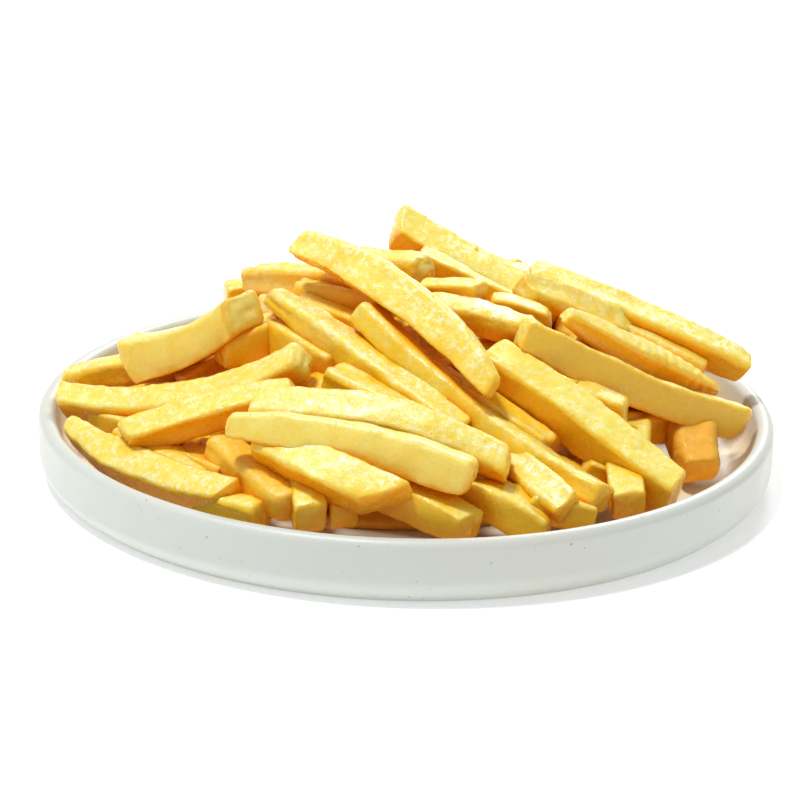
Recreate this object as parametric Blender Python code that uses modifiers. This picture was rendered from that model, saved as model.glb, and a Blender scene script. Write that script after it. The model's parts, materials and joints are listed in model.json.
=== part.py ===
"""A portion of french fries heaped on a small round plate.

Metres, +Z up. The plate stands on z = 0 with its axis on the origin, and the
heap is seen from the front, which is -Y. The plate is one turned solid. The
fries are one solid: a low core with every fry that shows fused to it.
"""

import math
import random
from typing import NamedTuple

import bmesh
import bpy
from mathutils import Matrix, Vector

MM = 0.001
NEAR_NOTHING = 0.001

# Plate: a flat floor, an upright wall and a fully rounded lip on a foot ring
PLATE_RADIUS = 100.0 * MM
PLATE_HEIGHT = 17.4 * MM
PLATE_STEPS = 72
LIP_RADIUS = 2.4 * MM
WALL_CORNER = 7.0 * MM
FLOOR_TOP = 4.8 * MM
FLOOR_UNDER = 1.6 * MM
FLOOR_CORNER = 6.4 * MM
WALL_LEAN = 1.0 * MM
FOOT_RADIUS = 96.0 * MM
FOOT_WIDTH = 9.0 * MM

# Heap: the height of the fries' middle lines over the plate, which the hidden fries follow
HEAP_TOP = Vector((4, 10)) * MM
HEAP_HEIGHT = 62 * MM
HEAP_FOOT = 9 * MM
HEAP_REACH = 94 * MM
HEAP_POWER = 1.25
BACK_LEFT_HEADING = math.radians(145)
BACK_LEFT_LOSS = 22 * MM

# Core under the fries
CORE_MIDDLE = Vector((-3, 2)) * MM
CORE_RADIUS = 64 * MM
CORE_DEPTH = 13 * MM
CORE_EDGE_POWER = 5
CORE_EDGE_HEIGHT = 2 * MM
DISH_GAP = 0.4 * MM

# Fries: an eight-sided stick, cut blunt, with more loops along a long one
CORNER_SHARE = 0.27
END_SHRINK = 0.88
LONG_FRY = 45 * MM
LONG_LOOPS = 4
SHORT_LOOPS = 2

# Hidden fries: how far they turn from lying along the rim, and their uneven sizes, in degrees and mm
SEED = 20
HEADING_SPREAD = 48
HIDDEN_WIDTHS = (9.3, 10.8)
HIDDEN_DEPTHS = (8.6, 9.8)
HIDDEN_BOWS = (-1.5, 2.0)
HIDDEN_ROLLS = (-14, 14)
LOWEST_MIDDLE = 10.5
PULL_STEP = 2
PULL_TRIES = 12


class Fry(NamedTuple):
    """One fry in millimetres, from its tail to its tip.

    bow lifts the middle and swing moves it sideways. roll turns the section, in
    degrees. A slant moves an end's top past its bottom. An end's share is its
    section's size there.
    """

    tail: tuple
    tip: tuple
    width: float = 10.5
    depth: float = 9.5
    bow: float = 0.0
    swing: float = 0.0
    roll: float = 0.0
    tail_slant: float = 0.0
    tip_slant: float = 0.0
    tail_share: float = END_SHRINK
    tip_share: float = END_SHRINK


# The fries that show, laid from the top of the heap down to the rim
SHOWN = {
    "ridge": Fry(
        (-30, -2, 63), (22, -54, 41), 10.8, 8.6, swing=-5, roll=52, tail_share=0.75, tip_share=0.6
    ),
    "summit": Fry((-5, 22, 61.5), (41, 8, 39), 10.6, 10.8, roll=22, tail_share=0.95),
    "summit_low": Fry((30, -9, 53), (67, 18, 31), 10, 8.5, roll=38),
    "under_summit": Fry((1, 8, 56), (54, 8, 31), 10, 9),
    "shoulder": Fry((32, 22, 48), (93, 10, 26), 9.8, 9.4, bow=1, roll=17, tip_slant=2),
    "shoulder_low": Fry((53, 12, 38), (81, 6, 26), 9, 9),
    "block": Fry((-16, 9, 54), (4, -6, 57), 10),
    "wedge": Fry((3, -12, 53), (19, -17, 54), 8.5, 7),
    "middle_top": Fry((4, -22, 52), (39, -27, 44), 9, 7.6, bow=1, roll=10, tip_share=0.5),
    "small_behind": Fry((21, -14, 51), (37, -16, 47), 8, 8),
    "left_upper": Fry((-44, 29, 43), (-11, -8, 52), 10, 8.5, bow=1),
    "golden_slab": Fry((-30, 3, 47), (-4, -14, 50), 10, 9),
    "under_slab": Fry((-29, -3, 45), (-2, -26, 43), 9.5, 9),
    "round_end": Fry((-52, 31, 36), (-14, 40, 41), 9.5),
    "left_diagonal": Fry((-37, -12, 51), (14, -58, 30), 9.6, 9, roll=-5, tail_share=0.6, tail_slant=2),
    "long_diagonal": Fry((-12, -25, 52), (50, -71, 18), 9.2, 7.8, bow=-3, swing=1.5, roll=-20),
    "inner_strip": Fry((5, -37, 39), (36, -54, 25), 8, 8),
    "left_stub": Fry((-38, 3, 44), (-20, -27, 41), 9, 9),
    "left_stub_low": Fry((-36, -13, 41), (-18, -33, 38), 9, 9),
    "under_left": Fry((-20, -40, 38), (4, -55, 31), 10, 9),
    "left_bent": Fry(
        (-77, -8, 30), (-43, -19, 49), 10.4, 10.2, bow=-2.5, swing=1, roll=-7, tail_share=1.3, tip_share=1
    ),
    "left_back": Fry((-94, 2, 20), (-50, -6, 31), 9, 8, bow=1),
    "left_back_low": Fry((-84, -14, 15), (-60, -34, 17), 9, 9),
    "left_patch": Fry((-50, -19, 37), (-34, -12, 42), 9, 9),
    "left_long": Fry((-93, -9, 18.5), (-26, -40, 42.5), 9.4, 9, bow=-4.5, swing=3, roll=33, tip_share=1),
    "right_long": Fry((29, -33, 49), (92, -9, 17), 9.6, 9.6, bow=-2.5, roll=-8, tip_slant=1.6, tip_share=1),
    "ribbed": Fry((41, -22, 51), (84, -2, 24), 9.6, 8.2, bow=-1, roll=18, tail_share=0.5, tip_share=0.4),
    "under_ribbed": Fry((43, -16, 41), (80, 3, 18), 10, 9),
    "big_right": Fry((21, -35, 43), (69, -60, 16), 11, 11, roll=14),
    "between_high": Fry((30, -28, 38), (45, -32, 33), 8.5, 8),
    "between_low": Fry((40, -33, 33), (57, -37, 28), 9, 9),
    "pale_block": Fry((62, -15, 20), (58, -47, 19), 9.5, 9),
    "orange_end": Fry((77, -9, 20), (79, -31, 11.5), 13, 11, tip_share=0.8),
    "shaded_right": Fry((34, -50, 20), (50, -56, 13), 9.5, 9),
    "right_end": Fry((55, -45, 21), (56, -68, 15), 9.5),
    "low_right": Fry((45, -52, 20), (69, -55, 12), 9, 8),
    "front_short": Fry((24, -57, 24), (41, -78, 18), 9.2, 8.8, roll=32),
    "front_left": Fry((-73, -43, 21), (-28, -49, 36), 9.2, 8.8, bow=1.5, roll=27),
    "front_mid": Fry((-39, -51, 33), (26, -71, 27), 10, 9.4, bow=3.3, swing=-2.8, roll=40),
    "front_top": Fry((-44, -66, 34), (17, -81, 27), 9.6, 10.4, bow=2, roll=-17, tail_share=0.65),
    "front_lit": Fry((-37, -65, 29), (-3, -87, 22), 10.2, 9.3, bow=1.2, roll=36, tip_share=0.95),
    "front_rim": Fry((-11, -72, 23), (17, -84, 15), 9.8, 9.3),
    "front_rim_right": Fry((8, -66, 21), (36, -79, 12), 9.6, 9, bow=2),
    "rim_tips": Fry((31, -72, 18), (47, -72, 14), 9, 8),
    "shaded_left": Fry((-47, -52, 23), (-28, -80, 17), 9.5, 8.5),
    "front_end": Fry((-26, -62, 22), (-23, -84, 16), 9, 9),
    "front_end_low": Fry((-18, -66, 19), (-15, -80, 15), 8, 8),
    "flat_shaded": Fry((-59, -45, 17), (-45, -60, 17), 9, 8),
    "front_strip": Fry((-74, -33, 17), (-51, -61, 15), 9, 9),
    "broken_end": Fry((-52, -65, 13.5), (-35, -79, 15), 9, 8),
    "rim_left": Fry(
        (-89, -26, 17.5), (-43, -72.5, 17), 10, 9.4, bow=-1.5, swing=3.2, roll=30, tail_share=0.5
    ),
}

# Rings of the fries that the front view hides: distance, count, from and to headings, lift, lengths
HIDDEN_RINGS = (
    (74, 8, 28, 122, 0, (50, 66)),
    (55, 8, 10, 172, 1, (50, 68)),
    (36, 7, 8, 176, 0, (50, 66)),
    (52, 3, 128, 186, -4, (42, 54)),
    (50, 3, -28, 24, -6, (40, 50)),
    (16, 2, 50, 140, 0, (50, 60)),
    (62, 5, 172, 232, -9, (34, 48)),
    (58, 3, 300, 340, -8, (34, 46)),
    (30, 4, 215, 345, -6, (36, 48)),
)


def clear_scene():
    for obj in list(bpy.data.objects):
        bpy.data.objects.remove(obj, do_unlink=True)


def new_collection(name):
    collection = bpy.data.collections.new(name)
    bpy.context.scene.collection.children.link(collection)
    return collection


def add_object(name, mesh, collection):
    obj = bpy.data.objects.new(name, mesh)
    collection.objects.link(obj)
    return obj


def principled(name, colour, roughness):
    material = bpy.data.materials.new(name)
    material.use_nodes = True
    shader = material.node_tree.nodes["Principled BSDF"]
    shader.inputs["Base Color"].default_value = (*colour, 1.0)
    shader.inputs["Roughness"].default_value = roughness
    shader.inputs["Metallic"].default_value = 0.0
    return material


def glaze_material():
    return principled("off_white_glaze", (0.80, 0.82, 0.78), 0.42)


def fried_potato_material():
    return principled("fried_potato", (0.86, 0.62, 0.17), 0.5)


def arc(middle_x, middle_z, radius, start, end, count):
    """Points on an arc in the profile's plane, angles in degrees from +X."""
    points = []
    for i in range(count + 1):
        angle = math.radians(start + (end - start) * i / count)
        points.append((middle_x + radius * math.cos(angle), middle_z + radius * math.sin(angle)))
    return points


def plate_profile():
    """Half the plate's section, from the middle of its floor over the lip to under it."""
    lip_x = PLATE_RADIUS - LIP_RADIUS
    lip_z = PLATE_HEIGHT - LIP_RADIUS
    inner_x = lip_x - LIP_RADIUS - WALL_LEAN
    profile = [(0.0, FLOOR_TOP)]
    profile += arc(inner_x - FLOOR_CORNER, FLOOR_TOP + FLOOR_CORNER, FLOOR_CORNER, -90, 0, 3)
    profile += arc(lip_x, lip_z, LIP_RADIUS, 180, 0, 5)
    profile += arc(PLATE_RADIUS - WALL_CORNER, WALL_CORNER, WALL_CORNER, 0, -66, 2)
    profile += [(FOOT_RADIUS, 0.0), (FOOT_RADIUS - FOOT_WIDTH, 0.0)]
    profile += [(FOOT_RADIUS - FOOT_WIDTH - FLOOR_UNDER, FLOOR_UNDER), (0.0, FLOOR_UNDER)]
    return profile


def turned(name, profile, steps, collection):
    """An object turned from a profile round the Z axis."""
    mesh = bpy.data.meshes.new(name)
    points = [(x, 0.0, z) for x, z in profile]
    mesh.from_pydata(points, [(i, i + 1) for i in range(len(points) - 1)], [])
    obj = add_object(name, mesh, collection)
    screw = obj.modifiers.new("turn", "SCREW")
    screw.axis = "Z"
    screw.angle = math.tau
    screw.steps = steps
    screw.render_steps = steps
    screw.use_merge_vertices = True
    screw.merge_threshold = 0.00001
    screw.use_smooth_shade = True
    return obj


def make_plate(collection):
    plate = turned("plate", plate_profile(), PLATE_STEPS, collection)
    plate.data.materials.append(glaze_material())
    return plate


def heap_height(x, y):
    """The height of the fries' middle lines at a place on the plate."""
    offset = Vector((x, y))
    fade = 1.0 - offset.length / HEAP_REACH
    offset -= HEAP_TOP * fade
    toward_gap = max(0.0, math.cos(math.atan2(y, x) - BACK_LEFT_HEADING)) ** 2
    reach = HEAP_REACH - BACK_LEFT_LOSS * toward_gap
    share = min(offset.length / reach, 1.0)
    return HEAP_FOOT + (HEAP_HEIGHT - HEAP_FOOT) * (1.0 - share**HEAP_POWER)


def dish_gap(point):
    """The free distance from a point to the plate's floor, wall and lip."""
    radius = math.hypot(point.x, point.y)
    lip_x = PLATE_RADIUS - LIP_RADIUS
    lip_z = PLATE_HEIGHT - LIP_RADIUS
    if point.z > lip_z:
        return math.hypot(radius - lip_x, point.z - lip_z) - LIP_RADIUS
    wall_x = lip_x - LIP_RADIUS - WALL_LEAN
    corner_x = wall_x - FLOOR_CORNER
    corner_z = FLOOR_TOP + FLOOR_CORNER
    if radius > corner_x and point.z < corner_z:
        return FLOOR_CORNER - math.hypot(radius - corner_x, point.z - corner_z)
    return min(wall_x - radius, point.z - FLOOR_TOP)


def blank_stick(length, width, depth, loops):
    """A bar along X with its four long edges cut off, divided by loops along its length."""
    blank = bmesh.new()
    bmesh.ops.create_cube(blank, size=1.0)
    bmesh.ops.scale(blank, vec=(length, width, depth), verts=blank.verts)
    long_edges = [e for e in blank.edges if abs(e.verts[0].co.x - e.verts[1].co.x) > length / 2]
    bmesh.ops.bevel(
        blank,
        geom=long_edges,
        offset=CORNER_SHARE * min(width, depth),
        offset_type="OFFSET",
        segments=1,
        profile=0.5,
        affect="EDGES",
    )
    for i in range(1, loops + 1):
        plane = Vector((length * (i / (loops + 1) - 0.5), 0, 0))
        everything = blank.verts[:] + blank.edges[:] + blank.faces[:]
        bmesh.ops.bisect_plane(blank, geom=everything, plane_co=plane, plane_no=(1, 0, 0))
    return blank


def stick_frame(tail, tip, roll):
    """The directions along, across and up a stick."""
    along = (tip - tail).normalized()
    across = along.cross(Vector((0, 0, 1))).normalized()
    upward = across.cross(along)
    turn = Matrix.Rotation(roll, 3, along)
    return along, turn @ across, turn @ upward


def fry_mesh(name, fry):
    """The solid of one fry, bent and laid in its place."""
    tail = Vector(fry.tail) * MM
    tip = Vector(fry.tip) * MM
    length = (tip - tail).length
    along, across, upward = stick_frame(tail, tip, math.radians(fry.roll))
    loops = LONG_LOOPS if length > LONG_FRY else SHORT_LOOPS
    stick = blank_stick(length, fry.width * MM, fry.depth * MM, loops)
    for vert in stick.verts:
        share = vert.co.x / length + 0.5
        arch = 4 * share * (1 - share)
        height = vert.co.z / (fry.depth * MM / 2)
        slant = fry.tail_slant * (1 - share) ** 4 + fry.tip_slant * share**4
        size = 1 - (1 - fry.tail_share) * (1 - share) ** 4 - (1 - fry.tip_share) * share**4
        middle = tail.lerp(tip, share) + (upward * fry.bow + across * fry.swing) * (arch * MM)
        middle += along * (slant * height * MM)
        vert.co = middle + across * (vert.co.y * size) + upward * (vert.co.z * size)
    bmesh.ops.recalc_face_normals(stick, faces=stick.faces)
    mesh = bpy.data.meshes.new(name)
    stick.to_mesh(mesh)
    stick.free()
    return mesh


def clear_of_dish(mesh):
    return min(dish_gap(vert.co) for vert in mesh.vertices) > DISH_GAP


def hidden_fry(draws, distance, angle, lift, lengths):
    """A fry laid on the heap by the rule, with random heading, length and thickness."""
    heading = angle + math.radians(90 + draws.uniform(-HEADING_SPREAD, HEADING_SPREAD))
    half = draws.uniform(*lengths) / 2
    width = draws.uniform(*HIDDEN_WIDTHS)
    depth = draws.uniform(*HIDDEN_DEPTHS)
    bow = draws.uniform(*HIDDEN_BOWS)
    roll = draws.uniform(*HIDDEN_ROLLS)
    step = Vector((math.cos(heading), math.sin(heading))) * half
    centre = Vector((math.cos(angle), math.sin(angle))) * distance
    ends = []
    for place in (centre - step, centre + step):
        height = heap_height(place.x * MM, place.y * MM) / MM + lift
        ends.append((place.x, place.y, max(height, LOWEST_MIDDLE)))
    return Fry(ends[0], ends[1], width, depth, bow, 0.0, roll)


def hidden_fries():
    """The fries at the back and inside, each pulled inwards until it clears the dish."""
    draws = random.Random(SEED)
    laid = {}
    for ring, (distance, count, first, last, lift, lengths) in enumerate(HIDDEN_RINGS):
        for i in range(count):
            share = (i + 0.5 + draws.uniform(-0.25, 0.25)) / count
            angle = math.radians(first + (last - first) * share)
            state = draws.getstate()
            for pull in range(PULL_TRIES):
                draws.setstate(state)
                fry = hidden_fry(draws, distance - PULL_STEP * pull, angle, lift, lengths)
                mesh = fry_mesh("trial", fry)
                fits = clear_of_dish(mesh)
                bpy.data.meshes.remove(mesh)
                if fits:
                    laid[f"hidden_{ring}_{i}"] = fry
                    break
    return laid


def core_mesh():
    """A low dome under the fries, shaped from a sphere, with a flat underside."""
    ball = bmesh.new()
    bmesh.ops.create_uvsphere(ball, u_segments=24, v_segments=10, radius=1.0)
    underside = FLOOR_TOP + DISH_GAP
    for vert in ball.verts:
        flat = Vector((vert.co.x, vert.co.y))
        reach = math.asin(min(flat.length, 1.0)) / (math.pi / 2)
        place = CORE_MIDDLE + flat.normalized() * (reach * CORE_RADIUS)
        height = underside
        if vert.co.z > -NEAR_NOTHING:
            top = heap_height(place.x, place.y) - CORE_DEPTH
            height += CORE_EDGE_HEIGHT + (top - underside) * (1 - reach**CORE_EDGE_POWER)
        vert.co = Vector((place.x, place.y, height))
    bmesh.ops.recalc_face_normals(ball, faces=ball.faces)
    mesh = bpy.data.meshes.new("core")
    ball.to_mesh(mesh)
    ball.free()
    return mesh


def keep_outer_shell(mesh):
    """Fills sealed hollows and drops loose scraps by keeping the largest shell."""
    shape = bmesh.new()
    shape.from_mesh(mesh)
    bmesh.ops.triangulate(shape, faces=shape.faces)
    waiting = set(shape.faces)
    shells = []
    while waiting:
        front = [waiting.pop()]
        shell = []
        while front:
            face = front.pop()
            shell.append(face)
            for edge in face.edges:
                for other in edge.link_faces:
                    if other in waiting:
                        waiting.remove(other)
                        front.append(other)
        shells.append(shell)
    volumes = []
    for shell in shells:
        corners = [[v.co for v in face.verts] for face in shell]
        volumes.append(sum(a.dot(b.cross(c)) / 6 for a, b, c in corners))
    keep = shells[volumes.index(max(volumes))]
    spare = [face for shell in shells if shell is not keep for face in shell]
    bmesh.ops.delete(shape, geom=spare, context="FACES")
    shape.to_mesh(mesh)
    shape.free()


def make_fries(collection):
    """Joins the core and every fry into one solid."""
    pieces = new_collection("fry_pieces")
    core = add_object("fries", core_mesh(), collection)
    for name, fry in {**SHOWN, **hidden_fries()}.items():
        mesh = fry_mesh(name, fry)
        if clear_of_dish(mesh):
            add_object(name, mesh, pieces)
    union = core.modifiers.new("join", "BOOLEAN")
    union.operation = "UNION"
    union.operand_type = "COLLECTION"
    union.collection = pieces
    union.solver = "EXACT"
    bpy.context.view_layer.update()
    graph = bpy.context.evaluated_depsgraph_get()
    joined = bpy.data.meshes.new_from_object(core.evaluated_get(graph))
    core.modifiers.remove(union)
    core.data = joined
    for piece in list(pieces.objects):
        bpy.data.objects.remove(piece, do_unlink=True)
    bpy.data.collections.remove(pieces)
    keep_outer_shell(joined)
    joined.materials.clear()
    joined.materials.append(fried_potato_material())
    return core


def main():
    clear_scene()
    collection = new_collection("french_fries_portion")
    make_plate(collection)
    make_fries(collection)


if __name__ == "__main__":
    main()
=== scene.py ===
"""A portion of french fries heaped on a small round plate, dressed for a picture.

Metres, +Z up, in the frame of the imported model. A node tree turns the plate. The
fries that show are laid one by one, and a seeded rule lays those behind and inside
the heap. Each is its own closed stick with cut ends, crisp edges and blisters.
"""

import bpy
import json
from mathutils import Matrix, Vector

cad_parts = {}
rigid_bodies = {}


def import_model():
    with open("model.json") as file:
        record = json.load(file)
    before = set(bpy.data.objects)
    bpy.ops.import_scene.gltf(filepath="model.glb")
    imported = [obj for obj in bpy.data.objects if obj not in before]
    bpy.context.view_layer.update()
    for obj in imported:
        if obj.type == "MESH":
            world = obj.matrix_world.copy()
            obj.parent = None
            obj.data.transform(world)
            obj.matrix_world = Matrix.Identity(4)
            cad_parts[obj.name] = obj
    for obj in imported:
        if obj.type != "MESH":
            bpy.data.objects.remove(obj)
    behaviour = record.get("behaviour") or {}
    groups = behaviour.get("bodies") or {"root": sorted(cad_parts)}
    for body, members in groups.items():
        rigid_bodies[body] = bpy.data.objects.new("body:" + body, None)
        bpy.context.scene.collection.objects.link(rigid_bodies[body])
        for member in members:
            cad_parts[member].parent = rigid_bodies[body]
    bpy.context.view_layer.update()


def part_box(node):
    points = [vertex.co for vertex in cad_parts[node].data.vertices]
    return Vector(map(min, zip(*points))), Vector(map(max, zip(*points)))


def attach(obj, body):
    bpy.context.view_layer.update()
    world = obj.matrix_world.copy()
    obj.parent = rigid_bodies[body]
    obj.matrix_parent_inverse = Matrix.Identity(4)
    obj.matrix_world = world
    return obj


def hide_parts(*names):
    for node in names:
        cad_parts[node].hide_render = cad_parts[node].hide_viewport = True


bl_info = {
    "name": "French fries portion",
    "version": (1, 0, 0),
    "blender": (4, 5, 0),
    "location": "3D View > Sidebar > Fries",
    "description": "Builds a plate of thick-cut fries, its light and its camera",
    "category": "Object",
}

import json
import math
import random
from typing import NamedTuple

import bpy
import numpy as np
from bpy.props import FloatProperty, FloatVectorProperty, IntProperty, PointerProperty
from mathutils import Matrix, Vector
from mathutils.bvhtree import BVHTree

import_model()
PLATE_LOW, PLATE_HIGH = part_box("plate")

MM = 0.001
BODY = "root"

# Plate's section, in metres
LIP_RADIUS = 2.4 * MM
WALL_CORNER = 7.0 * MM
FLOOR_TOP = 4.8 * MM
FLOOR_UNDER = 1.6 * MM
FLOOR_CORNER = 6.4 * MM
WALL_LEAN = 1.0 * MM
FOOT_RADIUS = 96.0 * MM
FOOT_WIDTH = 9.0 * MM

# Heap's shape in mm, which the hidden fries and the core follow
HEAP_TOP = Vector((4, 10))
HEAP_HEIGHT = 62
HEAP_FOOT = 9
HEAP_REACH = 94
HEAP_POWER = 1.25
BACK_LEFT_HEADING = math.radians(145)
BACK_LEFT_LOSS = 22
CORE_MIDDLE = Vector((-3, 2))
CORE_RADIUS = 64
CORE_DEPTH = 15
CORE_EDGE_POWER = 5
CORE_EDGE_HEIGHT = 2
DISH_GAP = 0.4

# Hidden fries' rule, in degrees and mm
HIDDEN_SEED = 20
HEADING_SPREAD = 48
HIDDEN_WIDTHS = (9.3, 10.8)
HIDDEN_DEPTHS = (8.6, 9.8)
HIDDEN_BOWS = (-1.5, 2.0)
HIDDEN_ROLLS = (-14, 14)
LOWEST_MIDDLE = 10.5
PULL_STEP = 2
PULL_TRIES = 12

# Relief of a fry, in mm and degrees, with its wave as a share of its thickness
NOISE_SIDE = 32
NOISE_SEED = 7
RIM_RADII = (0.5, 1.1)
CORNER_RADII = (0.7, 2.1)
FACE_HOLLOWS = (-0.3, 0.5)
THICKNESS_WAVE = 0.09
THICKNESS_WAVE_LENGTH = 15.0
MOST_TWIST = 12
MOST_END_YAW = 1.2
MOST_END_SLANT = 0.9
RIB_SPACING = 3.4

# Smallest and largest radius of a bead, in metres
BEAD_SIZES = (0.08 * MM, 0.24 * MM)

# Plain stick that stands for a hidden fry when its gap to the dish is measured
PLAIN_SHRINK = 0.12
PLAIN_CORNER = 0.27

# How many of the hidden fries lie behind, before those inside
BEHIND_COUNT = 24

# Light, camera and floor, in metres, with the camera's sensor in mm
KEY_PLACE = Vector((-0.40, -0.05, 1.55))
KEY_TINT = (1.0, 0.99, 0.97)
BACK_PLACE = Vector((0.30, 1.15, 0.80))
BACK_TINT = (1.0, 1.0, 1.0)
SKY_RAYS = 40
CAMERA_PLACE = Vector((0.0, -0.7479, 0.2840))
CAMERA_TARGET = Vector((-0.00184, 0.0, 0.01822))
CAMERA_TILT = math.radians(1.394)
SENSOR_WIDTH = 36.0
FLOOR_REACH = 6.0

# Colours that masks bring in, and how much warmer the glaze's clouds are
BROWNED = (0.84, 0.40, 0.03, 1.0)
GREENISH = (0.84, 0.78, 0.30, 1.0)
CUT_END = (0.95, 0.84, 0.28, 1.0)
# Pale white of the blisters, which is also painted highlight where the faces are lit
BLISTER_WHITE_AND_HIGHLIGHT = (1.0, 0.97, 0.64, 1.0)
# Brown of the floor's turned rings, which is also painted reflection of the fries
RING_STREAKS_AND_REFLECTION = (0.78, 0.58, 0.34, 1.0)
GLAZE_WARMTH = (1.02, 0.985, 0.955)
WHITE = (1.0, 1.0, 1.0, 1.0)

# Where oil and the fries' warm bounce light are painted on the plate, in metres, and how much of it shows
OIL_AND_BOUNCE_REACH = (0.0955, 0.0935)
OIL_AND_BOUNCE_HEIGHT = (0.003, 0.0045)
OIL_AND_BOUNCE_SHARE = 0.65

# Light mask at the top of the core, as a share
CORE_LIGHT = 0.34

# Masks that each fry's mesh carries
MASKS = ("edge", "cut_end", "bead", "tint", "blister", "light")

# Kinds of node socket
GEOMETRY = "NodeSocketGeometry"
NUMBER = "NodeSocketFloat"
WHOLE = "NodeSocketInt"
VECTOR = "NodeSocketVector"


class Fry(NamedTuple):
    """One fry in millimetres, from its tail to its tip.

    bow lifts the middle and swing moves it sideways. roll turns the section, in
    degrees. At an end, slant moves its top past its bottom, yaw one side past the
    other and round its middle past its corners, and share is its section's size.
    tint runs from -1, pale green, to 1, brown. blister is how flecked the skin is.
    ribs are wrinkles across it, and rough its relief.
    """

    tail: tuple
    tip: tuple
    width: float = 10.5
    depth: float = 9.5
    bow: float = 0.0
    swing: float = 0.0
    roll: float = 0.0
    tail_slant: float = 0.0
    tip_slant: float = 0.0
    tail_share: float = 0.88
    tip_share: float = 0.88
    tail_yaw: float = 0.0
    tip_yaw: float = 0.0
    tail_round: float = 0.8
    tip_round: float = 0.8
    tint: float = 0.0
    blister: float = 0.5
    ribs: float = 0.0
    rough: float = 1.0


# The fries that show, laid from the top of the heap down to the rim
TOP_FRIES = {
    "ridge": Fry(
        (-30, -2, 63), (22, -54, 41), 10.8, 8.6, swing=-5, roll=52, tail_share=0.75, tip_share=0.6,
        tail_round=2.5, tip_round=2.5, blister=1,
    ),
    "summit": Fry(
        (-5, 22, 61.5), (41, 8, 39), 10.6, 10.8, roll=22, tail_share=0.95, tail_yaw=3, tail_round=1.6,
        blister=0.6,
    ),
    "summit_low": Fry((30, -9, 53), (67, 18, 31), 10, 8.5, roll=38, blister=0.7),
    "under_summit": Fry((1, 8, 56), (54, 8, 31), 10, 9, tint=0.2),
    "shoulder": Fry(
        (32, 22, 48), (93, 10, 26), 9.8, 9.4, bow=1, roll=17, tip_slant=2, tip_share=0.72, tip_round=1.5,
        blister=0.7,
    ),
    "shoulder_low": Fry((53, 12, 38), (81, 6, 26), 9, 9, tint=0.2),
    "block": Fry((-16, 9, 54), (4, -6, 57), 10, rough=2.2),
    "wedge": Fry((3, -12, 53), (19, -17, 54), 8.5, 7),
    "middle_top": Fry(
        (4, -22, 52), (39, -27, 44), 9, 7.6, bow=1, roll=10, tip_share=0.5, blister=1, rough=2
    ),
    "small_behind": Fry((21, -14, 51), (37, -16, 47), 8, 8),
    "left_upper": Fry((-44, 29, 43), (-11, -8, 52), 10, 8.5, bow=1),
    "golden_slab": Fry((-30, 3, 47), (-4, -14, 50), 10, 9, tint=0.3),
    "under_slab": Fry((-29, -3, 45), (-2, -26, 43), 9.5, 9, tint=0.2),
    "round_end": Fry((-52, 31, 36), (-14, 40, 41), 9.5),
}
MIDDLE_FRIES = {
    "left_diagonal": Fry(
        (-37, -12, 51), (14, -58, 30), 9.6, 9, roll=-5, tail_share=0.6, tail_slant=2, blister=1, rough=1.4
    ),
    "long_diagonal": Fry((-12, -25, 52), (50, -71, 18), 9.2, 7.8, bow=-3, swing=1.5, roll=-20),
    "inner_strip": Fry((5, -37, 39), (36, -54, 25), 8, 8, tint=0.3),
    "left_stub": Fry((-38, 3, 44), (-20, -27, 41), 9, 9, tint=0.2),
    "left_stub_low": Fry((-36, -13, 41), (-18, -33, 38), 9, 9, tint=0.3),
    "under_left": Fry((-20, -40, 38), (4, -55, 31), 10, 9, tint=0.1),
    "left_bent": Fry(
        (-74.5, -8, 30.5), (-43, -19, 49), 10.4, 10.2, bow=-2.5, swing=1, roll=-7, tail_share=1.25,
        tip_share=1, tip_yaw=-3, tint=-0.3, blister=0.3,
    ),
    "left_back": Fry((-94, 2, 20), (-50, -6, 31), 9, 8, bow=1),
    "left_back_low": Fry((-84, -14, 15), (-60, -34, 17), 9, 9, tint=0.2),
    "left_patch": Fry((-50, -19, 37), (-34, -12, 42), 9, 9),
    "left_long": Fry(
        (-93, -9, 18.5), (-26, -40, 42.5), 9.4, 9, bow=-4.5, swing=3, roll=33, tip_share=1, tip_yaw=1,
        tip_round=2,
    ),
}
RIGHT_FRIES = {
    "right_long": Fry(
        (29, -33, 49), (91.5, -9, 17), 9.6, 9.6, bow=-2.5, roll=-8, tip_slant=0.8, tip_share=1,
        tip_round=2.2, blister=0.4,
    ),
    "ribbed": Fry(
        (41, -22, 51), (84, -2, 24), 9.6, 8.2, bow=-1, roll=18, tail_share=0.5, tip_share=0.4, tint=0.15,
        ribs=0.28,
    ),
    "under_ribbed": Fry((43, -16, 41), (80, 3, 18), 10, 9, tint=0.3),
    "big_right": Fry((21, -35, 43), (69, -60, 16), 11, 11, roll=14, blister=0.4),
    "between_high": Fry((30, -28, 38), (45, -32, 33), 8.5, 8),
    "between_low": Fry((40, -33, 33), (57, -37, 28), 9, 9, tint=0.2),
    "pale_block": Fry((62, -15, 20), (58, -48, 19), 9.5, 9, tint=-0.3),
    "orange_end": Fry(
        (75.5, -9, 18.5), (77.5, -31, 10.8), 12.5, 11, tip_share=0.78, tip_round=1.5, tint=0.9, rough=2
    ),
    "shaded_right": Fry((34, -50, 20), (50, -56, 13), 9.5, 9, tint=0.3),
    "right_end": Fry((55, -45, 21), (56, -68, 15), 9.5),
    "low_right": Fry((45, -52, 20), (69, -55, 12), 9, 8, tint=0.2),
}
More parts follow.
